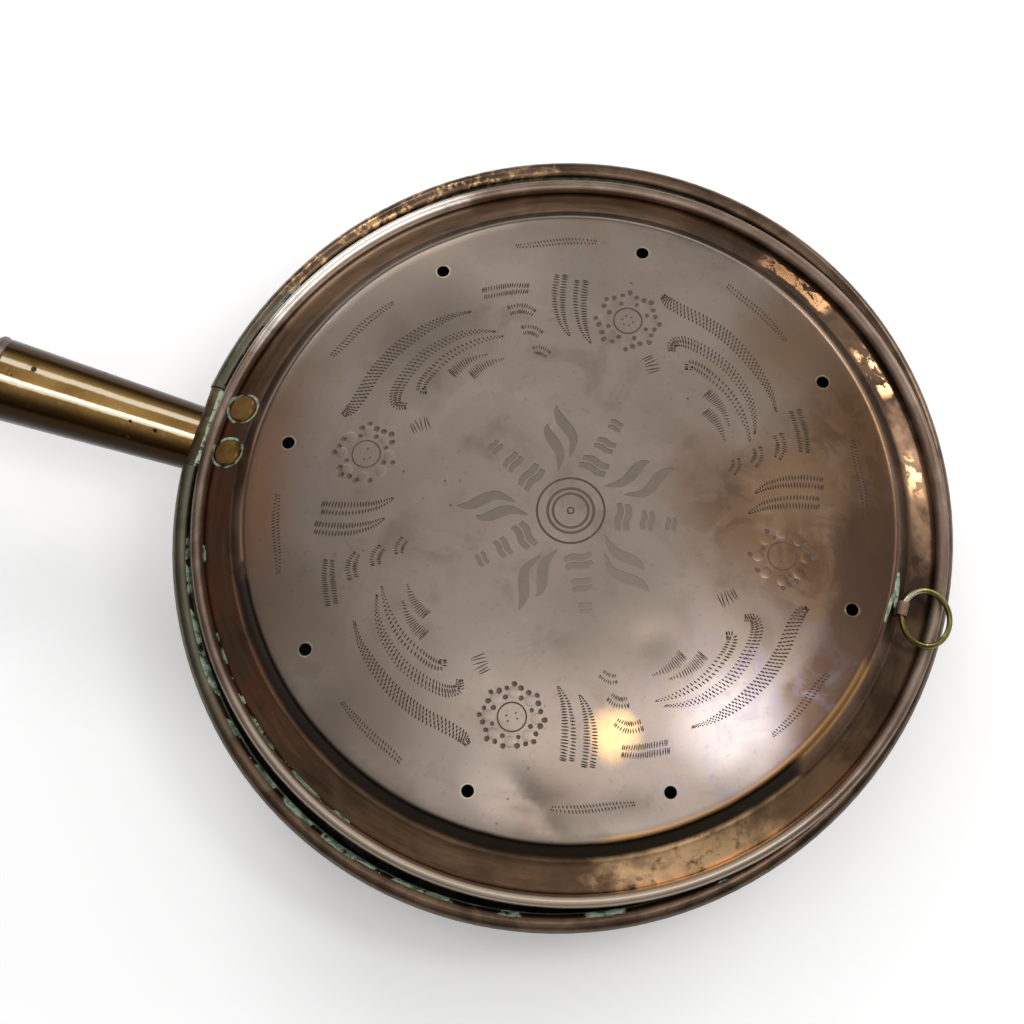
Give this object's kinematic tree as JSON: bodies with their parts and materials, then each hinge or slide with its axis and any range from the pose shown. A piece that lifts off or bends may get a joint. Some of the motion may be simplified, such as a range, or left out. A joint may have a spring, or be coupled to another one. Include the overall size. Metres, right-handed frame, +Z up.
{
  "type": "bed warming pan",
  "caption": "Round copper bed warming pan with a hinged, pierced and chased lid, a small lift ring, a brass socket and a long turned wooden handle with a hanging ring.",
  "frame": {"origin": "centre of the pan's flat base, on the surface that it stands on", "axes": "+Z up, the handle runs out along -X, the lid's lift ring is at the +X side"},
  "size_m": [1.0641, 0.307, 0.1089],
  "materials": {
    "pan_copper": "worn brown patina on hammered sheet copper",
    "lid_copper": "dull rubbed copper with a mauve brown patina",
    "hinge_brass": "dull ochre brass with verdigris in the seams",
    "ring_brass": "rubbed olive brass wire",
    "socket_brass": "polished, pitted old sheet brass",
    "roves": "dull copper",
    "iron": "dark wrought iron",
    "handle_wood": "dark polished turned wood"
  },
  "bodies": {
    "pan": {"pan_bowl": "pan_copper", "pan_rim_wire": "iron", "hinge_pin": "iron", "socket_plate": "socket_brass", "plate_rivets": "hinge_brass", "plate_roves": "roves", "socket": "socket_brass", "handle": "handle_wood", "handle_nail": "iron", "hanging_eye": "ring_brass"},
    "lid": {"lid": "lid_copper", "lid_rim_wire": "iron", "hinge_leaf": "hinge_brass", "hinge_rivets": "hinge_brass", "hinge_roves": "roves", "ring_strap": "roves"},
    "lift_ring": {"lift_ring": "ring_brass"},
    "hanging_ring": {"hanging_ring": "ring_brass"}
  },
  "joints": [
    {"name": "lid_hinge", "type": "hinge", "parent": "pan", "child": "lid", "pos_m": [-0.1438, 0, 0.07], "axis": [0, -1, 0], "range_deg": [0, 130]},
    {"name": "lift_ring_pivot", "type": "hinge", "parent": "lid", "child": "lift_ring", "pos_m": [0.13116, 0.00719, 0.08759], "axis": [0.0558, -0.9984, 0], "range_deg": [0, 135]},
    {"name": "hanging_ring_pivot", "type": "hinge", "parent": "pan", "child": "hanging_ring", "pos_m": [-0.9065, 0, 0.0519], "axis": [0, 1, 0], "range_deg": [-10, 170]}
  ]
}
